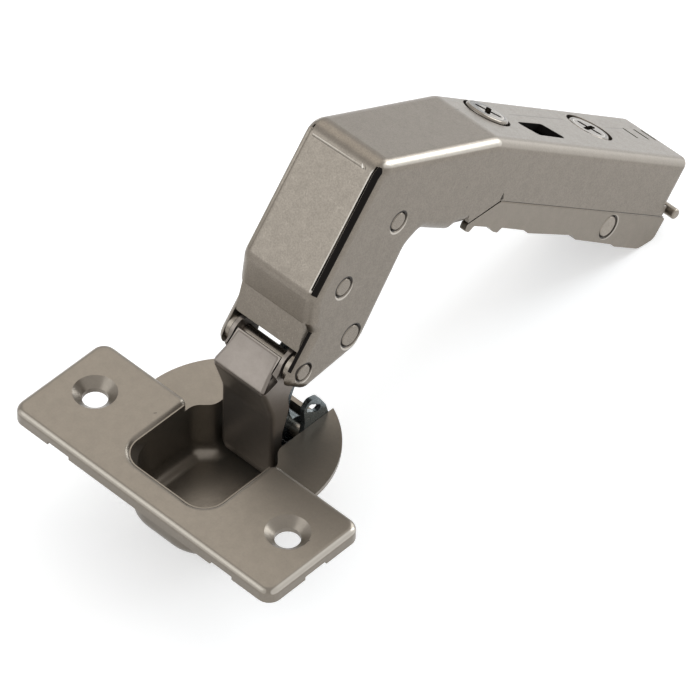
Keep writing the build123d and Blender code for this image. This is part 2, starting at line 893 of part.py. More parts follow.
lever_half = lever_inner_half + lever_sheet
with BuildPart() as release_lever:
    with BuildSketch(arm_plane):
        with BuildLine():
            CenterArc(release_at, lever_hub, 0, 360)
            CenterArc(release_bar_at, lever_tip, 0, 360)
        make_hull()
    extrude(amount=lever_half, both=True)
    with BuildSketch(arm_plane):
        with BuildLine():
            Polyline(
                (release_at[0] - lever_hub - 1, release_at[1] - 9),
                (release_at[0] - lever_hub - 1, release_at[1] + 9),
                (release_at[0] + lever_hub + 3, release_at[1] + 9),
                (release_at[0] + lever_hub + 3, release_at[1] + 2.9),
                (release_bar_at[0] + lever_tip, release_bar_at[1] + 1.1),
                (release_bar_at[0] + lever_tip, release_at[1] - 9),
                close=True,
            )
        make_face()
    extrude(amount=lever_inner_half, both=True, mode=Mode.SUBTRACT)
    add(pin(arm_point(*release_bar_at), release_bar_radius, release_bar_half))
    bar_ends = (
        release_lever.edges()
        .filter_by(GeomType.CIRCLE)
        .filter_by(lambda e: abs(abs(e.center().X) - release_bar_half) < 1e-3)
    )
    fillet(bar_ends, 0.4)
    with BuildSketch(arm_plane):
        with Locations(release_at):
            Circle(release_rivet_radius + run_fit)
    extrude(amount=lever_half + 1, both=True, mode=Mode.SUBTRACT)
release_lever.part.label = "release_lever"
export_step(release_lever.part, "parts/release_lever.step")


def coil(at, inner, wire, turns, start):
    """A close-wound coil along X, as a stack of rounded turns."""
    middle = inner + wire / 2
    with BuildPart() as body:
        with BuildSketch(Plane.XY):
            with BuildLine():
                Polyline(
                    (start, at[0] + middle),
                    (start, at[0] + inner),
                    (start + turns * wire, at[0] + inner),
                    (start + turns * wire, at[0] + middle),
                    close=True,
                )
            make_face()
            for turn in range(turns):
                with Locations((start + (turn + 0.5) * wire, at[0] + middle)):
                    Circle(wire / 2)
        revolve(axis=Axis((0, at[0], 0), (1, 0, 0)))
    return Pos(0, 0, at[1]) * body.part


def wire_run(points, wire, bend):
    """A round wire along a path with rounded bends."""
    with BuildPart() as body:
        with BuildLine() as path:
            if bend:
                FilletPolyline(*points, radius=bend)
            else:
                Polyline(*points)
        with BuildSketch(Plane(origin=path.line @ 0, z_dir=path.line % 0)):
            Circle(wire / 2)
        sweep()
    return body.part


# Release spring round the lever's rivet
with BuildPart() as release_spring:
    add(
        coil(
            release_place,
            release_rivet_radius + 2 * run_fit,
            spring_wire,
            release_turns,
            -release_turns * spring_wire / 2,
        )
    )
    leg_root = (release_at[0], release_at[1] + release_rivet_radius + spring_wire * 0.6)
    leg_ends = [arm_point(*leg_root), arm_point(leg_root[0] + release_leg_reach, leg_root[1])]
    add(wire_run([(0, *leg_ends[0]), (0, *leg_ends[1])], spring_wire, 0))
release_spring.part.label = "release_spring"
export_step(release_spring.part, "parts/release_spring.step")

# Spring housing: a cast saddle behind the inner pin, with a slotted cheek each side
cheek_outline = [
    (9.95, -10.54),
    (15.0, -10.54),
    (15.8, -4.0),
    (16.2, 0.4),
    (15.4, 3.2),
    (13.7, 6.2),
    (11.4, 6.9),
    (10.1, 5.4),
    (10.4, 2.4),
    (9.95, -0.5),
]
cheek_radii = [0.5, 0.5, 1, 1.4, 1.5, 1.2, 1.4, 1.2, 1.5, 1.5]
with BuildPart() as throat_space:
    with BuildSketch(Plane.XY.offset(cup_sheet - cup_depth + face_gap)):
        add(recess_outline(deep_corner))
        offset(amount=-face_gap, kind=Kind.ARC)
    extrude(amount=cup_depth - cup_sheet + back_wall_top)
    fillet(throat_space.faces().sort_by(Axis.Z)[0].edges(), floor_radius)
    with BuildSketch(Plane.XY.offset(back_wall_top)):
        with Locations((0, recess_back - 4)):
            Rectangle(2 * (throat_half - face_gap), 16)
    extrude(amount=16)

with BuildPart() as spring_housing:
    with BuildSketch(Plane.YZ):
        add(profile(cheek_outline, cheek_radii))
    extrude(amount=throat_half, both=True)
    with BuildSketch(Plane.YZ):
        with Locations((12.0, cup_sheet - cup_depth + face_gap + saddle_sheet + 20)):
            Rectangle(30, 40)
    extrude(amount=link_half + body_gap, both=True, mode=Mode.SUBTRACT)
    with BuildSketch(Plane.YZ):
        with Locations((outer_pivot[0], -10)):
            Rectangle(2 * saddle_start, 8)
    extrude(amount=throat_half, both=True, mode=Mode.SUBTRACT)
    add(throat_space.part, mode=Mode.INTERSECT)
    with BuildSketch(Plane.YZ):
        with Locations(Location((*cheek_slot_at, 0), (0, 0, cheek_slot_turn))):
            SlotCenterToCenter(cheek_slot_run, cheek_slot_width)
        with Locations(inner_pivot):
            Circle(link_pin_radius + seat_fit)
    extrude(amount=2 * throat_half, both=True, mode=Mode.SUBTRACT)
spring_housing.part.label = "spring_housing"
export_step(spring_housing.part, "parts/spring_housing.step")

# Closing spring: two coils on the outer pin, joined behind by one bent wire
coil_start = inner_half + body_gap
coil_inner = link_pin_radius + 2 * run_fit
leg_x = coil_start + closing_turns * spring_wire / 2
saddle_top = cup_sheet - cup_depth + face_gap + saddle_sheet
with BuildPart() as closing_spring:
    add(coil(outer_pivot, coil_inner, spring_wire, closing_turns, coil_start))
    add(
        coil(
            outer_pivot,
            coil_inner,
            spring_wire,
            closing_turns,
            -coil_start - closing_turns * spring_wire,
        )
    )
    leg_low = saddle_top + spring_wire / 2 + face_gap
    leg_root = (outer_pivot[0] + coil_inner + spring_wire / 2, outer_pivot[1])
    add(
        wire_run(
            [
                (-leg_x, *leg_root),
                (-leg_x, outer_pivot[0] + closing_leg_reach, leg_low),
                (leg_x, outer_pivot[0] + closing_leg_reach, leg_low),
                (leg_x, *leg_root),
            ],
            spring_wire,
            1.0,
        )
    )
closing_spring.part.label = "closing_spring"
export_step(closing_spring.part, "parts/closing_spring.step")
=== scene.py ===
import logging
import math
from collections.abc import Callable
from dataclasses import dataclass, field
from enum import Enum

import bpy
from mathutils import Matrix, Vector


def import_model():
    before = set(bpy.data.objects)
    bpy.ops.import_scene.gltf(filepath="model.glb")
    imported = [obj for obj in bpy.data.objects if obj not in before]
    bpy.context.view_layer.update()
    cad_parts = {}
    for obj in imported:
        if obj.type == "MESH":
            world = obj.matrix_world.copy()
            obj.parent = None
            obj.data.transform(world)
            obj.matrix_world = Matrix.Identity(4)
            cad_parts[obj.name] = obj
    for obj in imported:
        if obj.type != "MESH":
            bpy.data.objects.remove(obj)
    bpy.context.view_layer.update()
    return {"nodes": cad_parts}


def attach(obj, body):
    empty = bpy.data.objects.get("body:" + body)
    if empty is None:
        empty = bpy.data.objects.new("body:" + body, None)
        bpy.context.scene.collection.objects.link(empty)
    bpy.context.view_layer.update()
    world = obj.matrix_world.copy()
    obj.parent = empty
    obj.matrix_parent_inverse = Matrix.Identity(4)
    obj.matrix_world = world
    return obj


log = logging.getLogger("corner_hinge")

Triple = tuple[float, float, float]
Pair = tuple[float, float]

MM = 0.001
TILT = math.radians(-38.95)
NOSE = (8.62, 16.84)
# The window, painted dark as shade on the casing and on the channel.
WINDOW_X = (-1.5, 6.0)
WINDOW_U = (39.5, 52.5)

# Tones of the painted shade and the painted highlights drawn into the finishes.
SHADE = (0.02, 0.017, 0.015)
GLEAM = (0.6, 0.56, 0.5)
WHITE = (1.0, 1.0, 1.0, 1.0)
COOL_LIGHT = (0.92, 0.965, 1.0)
WARM_LIGHT = (1.0, 0.95, 0.86)


class Body(Enum):
    """The moving bodies that the modelled pieces ride on."""

    OUTER_LINK = "outer_link"
    ARM = "arm"
    CHANNEL = "mounting_channel"


def row_point(x: float, y: float, z: float) -> Triple:
    """Turns a point of the shared frame from millimetres into metres.

    Args:
        x: Distance along the pivots, in millimetres.
        y: Distance towards the arm, in millimetres.
        z: Height over the door's face, in millimetres.

    Returns:
        The point in metres.
    """
    return (x * MM, y * MM, z * MM)


def arm_point(x: float, u: float, n: float) -> Triple:
    """Turns a point of the arm's own plane into the shared frame.

    Args:
        x: Distance along the pivots, in millimetres.
        u: Distance along the mounting section, in millimetres.
        n: Height out of the mounting section, in millimetres.

    Returns:
        The point in metres.
    """
    y = NOSE[0] + u * math.cos(TILT) - n * math.sin(TILT)
    z = NOSE[1] + u * math.sin(TILT) + n * math.cos(TILT)
    return row_point(x, y, z)


def arm_way(x: float, u: float, n: float) -> Vector:
    """Turns a direction of the arm's own plane into the shared frame.

    Args:
        x: Its part along the pivots.
        u: Its part along the mounting section.
        n: Its part out of the mounting section.

    Returns:
        The direction.
    """
    return Vector(arm_point(x, u, n)) - Vector(arm_point(0.0, 0.0, 0.0))


class NodeSheet:
    """A small helper that adds, sets and links shader nodes in one tree."""

    COLUMNS = 9
    SPACING = (190, -170)

    def __init__(self, tree: bpy.types.NodeTree) -> None:
        """Keeps the tree.

        Args:
            tree: The node tree to work in.
        """
        self.tree = tree
        self.count = 0

    @classmethod
    def on(cls, owner: bpy.types.ID) -> "NodeSheet":
        """Opens the tree of a material or a world and empties it.

        Args:
            owner: The material or world.

        Returns:
            A sheet for its tree.
        """
        owner.use_nodes = True
        owner.node_tree.nodes.clear()
        return cls(owner.node_tree)

    def add(self, kind: str, **values: object) -> bpy.types.Node:
        """Adds a node and sets its properties.

        Args:
            kind: The node's type name.
            **values: Properties of the node.

        Returns:
            The new node.
        """
        node = self.tree.nodes.new(kind)
        row, column = divmod(self.count, self.COLUMNS)
        node.location = (self.SPACING[0] * column, self.SPACING[1] * row)
        self.count += 1
        for name, value in values.items():
            setattr(node, name, value)
        return node

    def feed(self, target: bpy.types.NodeSocket, source: object) -> None:
        """Links a socket to another one, or sets its value.

        Args:
            target: The input socket.
            source: An output socket, or a value.
        """
        if isinstance(source, bpy.types.NodeSocket):
            self.tree.links.new(source, target)
        else:
            target.default_value = source

    def math(self, operation: str, *inputs: object, clamp: bool = False) -> bpy.types.NodeSocket:
        """Adds a Math node.

        Args:
            operation: The operation's name.
            *inputs: Sockets or numbers, in order.
            clamp: Whether the result stays between 0 and 1.

        Returns:
            The node's output.
        """
        node = self.add("ShaderNodeMath", operation=operation, use_clamp=clamp)
        for socket, value in zip(node.inputs, inputs):
            self.feed(socket, value)
        return node.outputs[0]

    def vector(self, operation: str, *inputs: object, out: int = 0) -> bpy.types.NodeSocket:
        """Adds a Vector Math node.

        Args:
            operation: The operation's name.
            *inputs: Sockets or vectors, in order.
            out: Which output to return: 0 for a vector, 1 for a number.

        Returns:
            The chosen output.
        """
        node = self.add("ShaderNodeVectorMath", operation=operation)
        for socket, value in zip(node.inputs, inputs):
            self.feed(socket, value)
        return node.outputs[out]

    def step(
        self, value: object, low: float, high: float, to_low: float = 0.0, to_high: float = 1.0
    ) -> bpy.types.NodeSocket:
        """Adds a smooth step between two levels.

        Args:
            value: The socket to map.
            low: The level that gives to_low.
            high: The level that gives to_high.
            to_low: The result at low.
            to_high: The result at high.

        Returns:
            The node's output.
        """
        node = self.add("ShaderNodeMapRange", interpolation_type="SMOOTHSTEP")
        for index, item in enumerate((value, low, high, to_low, to_high)):
            self.feed(node.inputs[index], item)
        return node.outputs[0]

    def mix(self, factor: object, first: object, second: object) -> bpy.types.NodeSocket:
        """Mixes two colours.

        Args:
            factor: The share of the second colour.
            first: The first colour.
            second: The second colour.

        Returns:
            The mixed colour.
        """
        node = self.add("ShaderNodeMix", data_type="RGBA")
        self.feed(node.inputs[0], factor)
        self.feed(node.inputs[6], first)
        self.feed(node.inputs[7], second)
        return node.outputs[2]

    def seen(self) -> bpy.types.NodeSocket:
        """Finds the rays that show a surface: straight, mirrored or through glass.

        Returns:
            A mask, 1 for such a ray.
        """
        path = self.add("ShaderNodeLightPath")
        direct = self.math("MAXIMUM", path.outputs["Is Camera Ray"], path.outputs["Is Glossy Ray"])
        return self.math("MAXIMUM", direct, path.outputs["Is Transmission Ray"])


@dataclass
class EmptyGroup:
    """A new shader group, still empty, with what is needed to fill it."""

    tree: bpy.types.NodeTree
    sheet: NodeSheet
    source: bpy.types.Node
    sink: bpy.types.Node


class Effects:
    """The shader groups that several finishes share, each built once."""

    CLOUD_SCALE = 620.0
    CLOUD_DETAIL = 4.0
    CLOUD_SHARE = 0.3
    MEAN_TONE = 0.35
    TONE_STEP = (0.3, 0.7)
    GRAIN_DETAIL = 3.0
    GRAIN_ROUGHNESS = 0.7
    GRAIN_HEIGHT = 0.6
    SPECK_SCALE = 190.0
    SPECK_FRAY = 0.12
    SPECK_CHANCE = (0.80, 0.86)
    SPECK_REACH = (0.17, 0.10)
    SPECK_SHARE = 0.45
    ROUGH_STEP = (0.75, 0.25)
    LINE_EDGE = (1.3, 0.7)

    def __init__(self) -> None:
        """Builds the groups."""
        self.plating = self._plating()
        self.line = self._line()

    @staticmethod
    def _group(name: str, inputs: dict[str, str], outputs: dict[str, str]) -> EmptyGroup:
        """Makes an empty group.

        Args:
            name: The group's name.
            inputs: Input names and socket types.
            outputs: Output names and socket types.

        Returns:
            The group with its sheet and its input and output nodes.
        """
        tree = bpy.data.node_groups.new(name, "ShaderNodeTree")
        for label, kind in inputs.items():
            tree.interface.new_socket(name=label, in_out="INPUT", socket_type=kind)
        for label, kind in outputs.items():
            tree.interface.new_socket(name=label, in_out="OUTPUT", socket_type=kind)
        sheet = NodeSheet(tree)
        return EmptyGroup(tree, sheet, sheet.add("NodeGroupInput"), sheet.add("NodeGroupOutput"))

    def _plating(self) -> bpy.types.NodeTree:
        """Satin plating over pickled sheet: cloudy tone, fine grain and small specks.

        Returns:
            The group's tree.
        """
        group = self._group(
            "satin_plating",
            {
                "Vector": "NodeSocketVector",
                "Light tone": "NodeSocketColor",
                "Dark tone": "NodeSocketColor",
                "Speck tone": "NodeSocketColor",
                "Grain size": "NodeSocketFloat",
                "Grain": "NodeSocketFloat",
                "Smooth": "NodeSocketFloat",
                "Rough": "NodeSocketFloat",
            },
            {"Color": "NodeSocketColor", "Roughness": "NodeSocketFloat", "Height": "NodeSocketFloat"},
        )
        s, given = group.sheet, group.source.outputs
        cloud = s.add("ShaderNodeTexNoise")
        s.feed(cloud.inputs["Vector"], given["Vector"])
        s.feed(cloud.inputs["Scale"], self.CLOUD_SCALE)
        s.feed(cloud.inputs["Detail"], self.CLOUD_DETAIL)
        grain = s.add("ShaderNodeTexNoise")
        s.feed(grain.inputs["Vector"], given["Vector"])
        s.feed(grain.inputs["Scale"], given["Grain size"])
        s.feed(grain.inputs["Detail"], self.GRAIN_DETAIL)
        s.feed(grain.inputs["Roughness"], self.GRAIN_ROUGHNESS)
        spots = s.add("ShaderNodeTexVoronoi", feature="F1")
        s.feed(spots.inputs["Vector"], given["Vector"])
        s.feed(spots.inputs["Scale"], self.SPECK_SCALE)

        ragged = s.math("MULTIPLY_ADD", grain.outputs[0], self.SPECK_FRAY, spots.outputs["Distance"])
        chance = s.step(spots.outputs["Color"], *self.SPECK_CHANCE)
        speck = s.math("MULTIPLY", s.step(ragged, *self.SPECK_REACH), chance)
        faint = s.math("MULTIPLY_ADD", cloud.outputs[0], self.CLOUD_SHARE, self.MEAN_TONE)
        tone = s.math("MULTIPLY_ADD", grain.outputs[0], given["Grain"], faint)
        tone = s.math("SUBTRACT", tone, s.math("MULTIPLY", given["Grain"], 0.5))
        body = s.mix(s.step(tone, *self.TONE_STEP), given["Dark tone"], given["Light tone"])
        colour = s.mix(s.math("MULTIPLY", speck, self.SPECK_SHARE), body, given["Speck tone"])
        span = s.math("SUBTRACT", given["Rough"], given["Smooth"])
        roughness = s.math("MULTIPLY_ADD", span, s.step(tone, *self.ROUGH_STEP), given["Smooth"])
        height = s.math("SUBTRACT", s.math("MULTIPLY", grain.outputs[0], self.GRAIN_HEIGHT), speck)
        s.feed(group.sink.inputs["Color"], colour)
        s.feed(group.sink.inputs["Roughness"], roughness)
        s.feed(group.sink.inputs["Height"], height)
        return group.tree

    def _line(self) -> bpy.types.NodeTree:
        """The mask of a line between two points, or a pit where they are one: scribed lines, pits and
        painted highlights use it.

        Returns:
            The group's tree.
        """
        group = self._group(
            "scribed_line",
            {
                "Vector": "NodeSocketVector",
                "Start": "NodeSocketVector",
                "End": "NodeSocketVector",
                "Half width": "NodeSocketFloat",
            },
            {"Mask": "NodeSocketFloat"},
        )
        s, given = group.sheet, group.source.outputs
        way = s.vector("SUBTRACT", given["End"], given["Start"])
        offset = s.vector("SUBTRACT", given["Vector"], given["Start"])
        along = s.vector("DOT_PRODUCT", offset, way, out=1)
        whole = s.vector("DOT_PRODUCT", way, way, out=1)
        share = s.math("DIVIDE", along, whole, clamp=True)
        foot = s.add("ShaderNodeVectorMath", operation="SCALE")
        s.feed(foot.inputs[0], way)
        s.feed(foot.inputs["Scale"], share)
        distance = s.vector("LENGTH", s.vector("SUBTRACT", offset, foot.outputs[0]), out=1)
        ratio = s.math("DIVIDE", distance, given["Half width"])
        s.feed(group.sink.inputs["Mask"], s.step(ratio, *self.LINE_EDGE))
        return group.tree


@dataclass(frozen=True)
class Mark:
    """A thin line or pit in a finish: ends in metres, half width in millimetres.

    Its sunk value presses it into the sheet above 0, and raises it below 0. The bright ones are painted
    highlights.
    """

    start: Triple
    end: Triple
    half_width: float
    strength: float
    tone: Triple = (0.03, 0.027, 0.024)
    sunk: float = 2.0

    @classmethod
    def on_arm(cls, start: Triple, end: Triple, **look: object) -> "Mark":
        """Makes a mark between two points of the arm's own plane.

        Args:
            start: The first point as x, u and n, in millimetres.
            end: The second point.
            **look: The mark's other values.

        Returns:
            The mark.
        """
        return cls(arm_point(*start), arm_point(*end), **look)


@dataclass(frozen=True)
class Crescent:
    """The sickle between two circles on a flat face: centres in metres, radii in millimetres.

    It is a fixed tone, drawn after the photograph, and no reflection: the dark ones are painted shade and
    the bright ones painted highlights.
    """

    centre: Triple
    radius: float
    inner_centre: Triple
    inner_radius: float
    tone: Triple
    strength: float


@dataclass(frozen=True)
class DepthTone:
    """Painted shade: a darker tone that comes in between two heights, in millimetres."""

    high: float
    low: float
    share: float
    tone: Triple = (0.02, 0.017, 0.014)


@dataclass(frozen=True)
class Slab:
    """A region of the arm's own plane painted dark as shade, in millimetres."""

    x: Pair
    u: Pair
    n: Pair


@dataclass(frozen=True)
class MetalFinish:
    """A metal surface with its tones, grain and marks."""

    CRESCENT_SOFTNESS = 0.05
    EDGE_ROUGHNESS = 0.6
    BUMP_DISTANCE = 0.1 * MM

    name: str
    light: Triple = (0.232, 0.203, 0.168)
    dark: Triple = (0.2, 0.175, 0.145)
    speck: Triple = (0.10, 0.085, 0.07)
    grain_size: float = 2600.0
    grain: float = 0.5
    smooth: float = 0.27
    rough: float = 0.36
    metallic: float = 0.92
    bump: float = 0.12
    marks: tuple[Mark, ...] = ()
    crescents: tuple[Crescent, ...] = ()
    # Painted shade that darkens the part lower down.
    depth: DepthTone | None = None
    # Slabs painted dark as shade, with their tone and a duller roughness.
    dark_edges: tuple[Slab, ...] = ()
    edge_tone: Triple = (0.011, 0.0095, 0.0085)

    def build(self, effects: Effects) -> bpy.types.Material:
        """Makes the material.

        Args:
            effects: The shared shader groups.

        Returns:
            The new material.
        """
        material = bpy.data.materials.new(self.name)
        s = NodeSheet.on(material)
        place = s.add("ShaderNodeTexCoord").outputs["Object"]
        plating = self._plate(s, effects, place)
        colour = plating.outputs["Color"]
        roughness = plating.outputs["Roughness"]
        height = plating.outputs["Height"]
        # Marks: scribed lines and pits, and painted highlights.
        for mark in self.marks:
            mask = self._mark_mask(s, effects, place, mark)
            colour = s.mix(s.math("MULTIPLY", mask, mark.strength), colour, (*mark.tone, 1))
            height = s.math("MULTIPLY_ADD", mask, -mark.sunk, height)
        # Crescents: painted shade and painted highlights round pins, rivets and screw heads.
        for crescent in self.crescents:
            mask = self._crescent_mask(s, place, crescent)
            colour = s.mix(s.math("MULTIPLY", mask, crescent.strength), colour, (*crescent.tone, 1))
        # Painted shade, darker lower down.
        if self.depth:
            level = s.add("ShaderNodeSeparateXYZ")
            s.feed(level.inputs[0], place)
            high, low = self.depth.high * MM, self.depth.low * MM
            mask = s.step(level.outputs[2], high, low, 0.0, self.depth.share)
            colour = s.mix(mask, colour, (*self.depth.tone, 1))
        # Painted shade: dark slabs with a duller roughness.
        if self.dark_edges:
            mask = self._edge_mask(s, place)
            colour = s.mix(mask, colour, (*self.edge_tone, 1))
            dull = s.math("MULTIPLY", mask, self.EDGE_ROUGHNESS)
            roughness = s.math("MAXIMUM", roughness, dull)
        bump = s.add("ShaderNodeBump")
        s.feed(bump.inputs["Strength"], self.bump)
        s.feed(bump.inputs["Distance"], self.BUMP_DISTANCE)
        s.feed(bump.inputs["Height"], height)
        shader = s.add("ShaderNodeBsdfPrincipled")
        s.feed(shader.inputs["Metallic"], self.metallic)
        s.feed(shader.inputs["Base Color"], colour)
        s.feed(shader.inputs["Roughness"], roughness)
        s.feed(shader.inputs["Normal"], bump.outputs[0])
        output = s.add("ShaderNodeOutputMaterial")
        s.feed(output.inputs[0], shader.outputs[0])
        return material

    def _plate(self, s: NodeSheet, effects: Effects, place: bpy.types.NodeSocket) -> bpy.types.Node:
        """Places the shared plating with this finish's values.

        Args:
            s: The material's sheet.
            effects: The shared shader groups.
            place: The object coordinates.

        Returns:
            The group's node.
        """
        plating = s.add("ShaderNodeGroup", node_tree=effects.plating)
        values = {
            "Vector": place,
            "Light tone": (*self.light, 1),
            "Dark tone": (*self.dark, 1),
            "Speck tone": (*self.speck, 1),
            "Grain size": self.grain_size,
            "Grain": self.grain,
            "Smooth": self.smooth,
            "Rough": self.rough,
        }
        for label, value in values.items():
            s.feed(plating.inputs[label], value)
        return plating

    @staticmethod
    def _mark_mask(
        s: NodeSheet, effects: Effects, place: bpy.types.NodeSocket, mark: Mark
    ) -> bpy.types.NodeSocket:
        """Finds the surface under a line or pit.

        Args:
            s: The material's sheet.
            effects: The shared shader groups.
            place: The object coordinates.
            mark: The line or pit.

        Returns:
            A mask, 1 on the mark.
        """
        line = s.add("ShaderNodeGroup", node_tree=effects.line)
        s.feed(line.inputs["Vector"], place)
        s.feed(line.inputs["Start"], mark.start)
        s.feed(line.inputs["End"], mark.end)
        s.feed(line.inputs["Half width"], mark.half_width * MM)
        return line.outputs["Mask"]

    def _crescent_mask(
        self, s: NodeSheet, place: bpy.types.NodeSocket, crescent: Crescent
    ) -> bpy.types.NodeSocket:
        """Finds the surface inside one circle and outside the other.

        Args:
            s: The material's sheet.
            place: The object coordinates.
            crescent: The two circles.

        Returns:
            A mask, 1 on the sickle.
        """
        outer = s.vector("DISTANCE", place, crescent.centre, out=1)
        inner = s.vector("DISTANCE", place, crescent.inner_centre, out=1)
        soft = self.CRESCENT_SOFTNESS
        radius, hole = crescent.radius, crescent.inner_radius
        within = s.step(outer, (radius + soft) * MM, (radius - soft) * MM)
        beyond = s.step(inner, (hole - soft) * MM, (hole + soft) * MM)
        return s.math("MULTIPLY", within, beyond)

    def _edge_mask(self, s: NodeSheet, place: bpy.types.NodeSocket) -> bpy.types.NodeSocket:
        """Finds the slabs painted dark as shade.

        Args:
            s: The material's sheet.
            place: The object coordinates.

        Returns:
            A mask, 1 in a slab of painted shade.
        """
        parts = s.add("ShaderNodeSeparateXYZ")
        s.feed(parts.inputs[0], place)
        along = (0.0, math.cos(TILT), math.sin(TILT))
        out = (0.0, -math.sin(TILT), math.cos(TILT))
        offset = s.vector("SUBTRACT", place, row_point(0.0, *NOSE))
        side = parts.outputs[0]
        u = s.vector("DOT_PRODUCT", offset, along, out=1)
        n = s.vector("DOT_PRODUCT", offset, out, out=1)
        total = None
        for slab in self.dark_edges:
            inside = None
            for value, (low, high) in ((side, slab.x), (u, slab.u), (n, slab.n)):
                above = s.math("GREATER_THAN", value, low * MM)
                below = s.math("LESS_THAN", value, high * MM)
                both = s.math("MULTIPLY", above, below)
                inside = both if inside is None else s.math("MULTIPLY", inside, both)
            total = inside if total is None else s.math("MAXIMUM", total, inside)
        return total


@dataclass
class Dresser:
    """Gives CAD nodes their finishes and keeps the names of those that are done."""

    nodes: dict[str, bpy.types.Object]
    effects: Effects
    done: set[str] = field(default_factory=set)

    def dress(self, finish: MetalFinish, *names: str) -> bpy.types.Material:
        """Puts one finish on some nodes.

        Args:
            finish: The finish to build.
            *names: The nodes' names.

        Returns:
            The material.
        """
        material = finish.build(self.effects)
        for name in names:
            for slot in self.nodes[name].material_slots:
                slot.material = material
            self.done.add(name)
            log.info("dressed %s in %s", name, finish.name)
        return material


class Bench:
    """Modelling steps that several pieces share."""

    SMOOTH_ANGLE = math.radians(35.0)

    @staticmethod
    def block(name: str, middle: Vector, way: Vector, out: Vector, size: Triple) -> bpy.types.Object:
        """Adds a block that lies along a direction, with its place in its mesh.

        Args:
            name: The piece's name.
            middle: Its middle, in metres.
            way: The direction of its length.
            out: The direction of its thickness.
            size: Length, width and thickness, in millimetres.

        Returns:
            The new object.
        """
        bpy.ops.object.select_all(action="DESELECT")
        bpy.ops.mesh.primitive_cube_add(size=1.0)
        piece = bpy.context.object
        piece.name = name
        along = way.normalized()
        up = out.normalized()
        across = up.cross(along)
        turn = Matrix((along, across, up)).transposed().to_4x4()
        stretch = Matrix.Diagonal((*(v * MM for v in size), 1.0))
        piece.matrix_world = Matrix.Translation(middle) @ turn @ stretch
        bpy.ops.object.transform_apply(location=True, rotation=True, scale=True)
        return piece

    @staticmethod
    def strip(
        name: str, start: Vector, end: Vector, out: Vector, width: float, thickness: float
    ) -> bpy.types.Object:
        """Adds a block between two points.

        Args:
            name: The piece's name.
            start: The middle of one end, in metres.
            end: The middle of the other end, in metres.
            out: The direction of its thickness.
            width: Its width, in millimetres.
            thickness: Its thickness, in millimetres.

        Returns:
            The new object.
        """
        length = (end - start).length / MM
        return Bench.block(name, (start + end) / 2, end - start, out, (length, width, thickness))

    @staticmethod
    def pick(piece: bpy.types.Object, test: Callable[[Vector], bool]) -> None:
        """Opens a piece in edit mode with some of its points selected.

        Args:
            piece: The piece to open.
            test: Says whether a point, in metres, is selected.
        """
        bpy.ops.object.mode_set(mode="EDIT")
        bpy.ops.mesh.select_mode(type="VERT")
        bpy.ops.mesh.select_all(action="DESELECT")
        bpy.ops.object.mode_set(mode="OBJECT")
        for vertex in piece.data.vertices:
            vertex.select = test(vertex.co)
        bpy.ops.object.mode_set(mode="EDIT")

    @staticmethod
    def bevel(piece: bpy.types.Object, width: float, segments: int) -> None:
        """Rounds all the edges of a piece.

        Args:
            piece: The piece to round.
            width: The width of the rounding, in millimetres.
            segments: The number of steps.
        """
        modifier = piece.modifiers.new("rounding", "BEVEL")
        modifier.width = width * MM
        modifier.segments = segments
        modifier.limit_method = "ANGLE"
        bpy.ops.object.modifier_apply(modifier=modifier.name)
        bpy.ops.object.shade_smooth_by_angle(angle=Bench.SMOOTH_ANGLE)

    @staticmethod
    def finish(piece: bpy.types.Object, material: bpy.types.Material, body: Body, slot: str) -> None:
        """Gives a piece its material and its body.

        Args:
            piece: The finished piece.
            material: Its material.
            body: The body that it rides on.
            slot: The record's slot that it belongs to. It is not used.
        """
        piece.data.materials.clear()
        piece.data.materials.append(material)
        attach(piece, body.value)
        log.info("modelled %s on %s", piece.name, body.value)


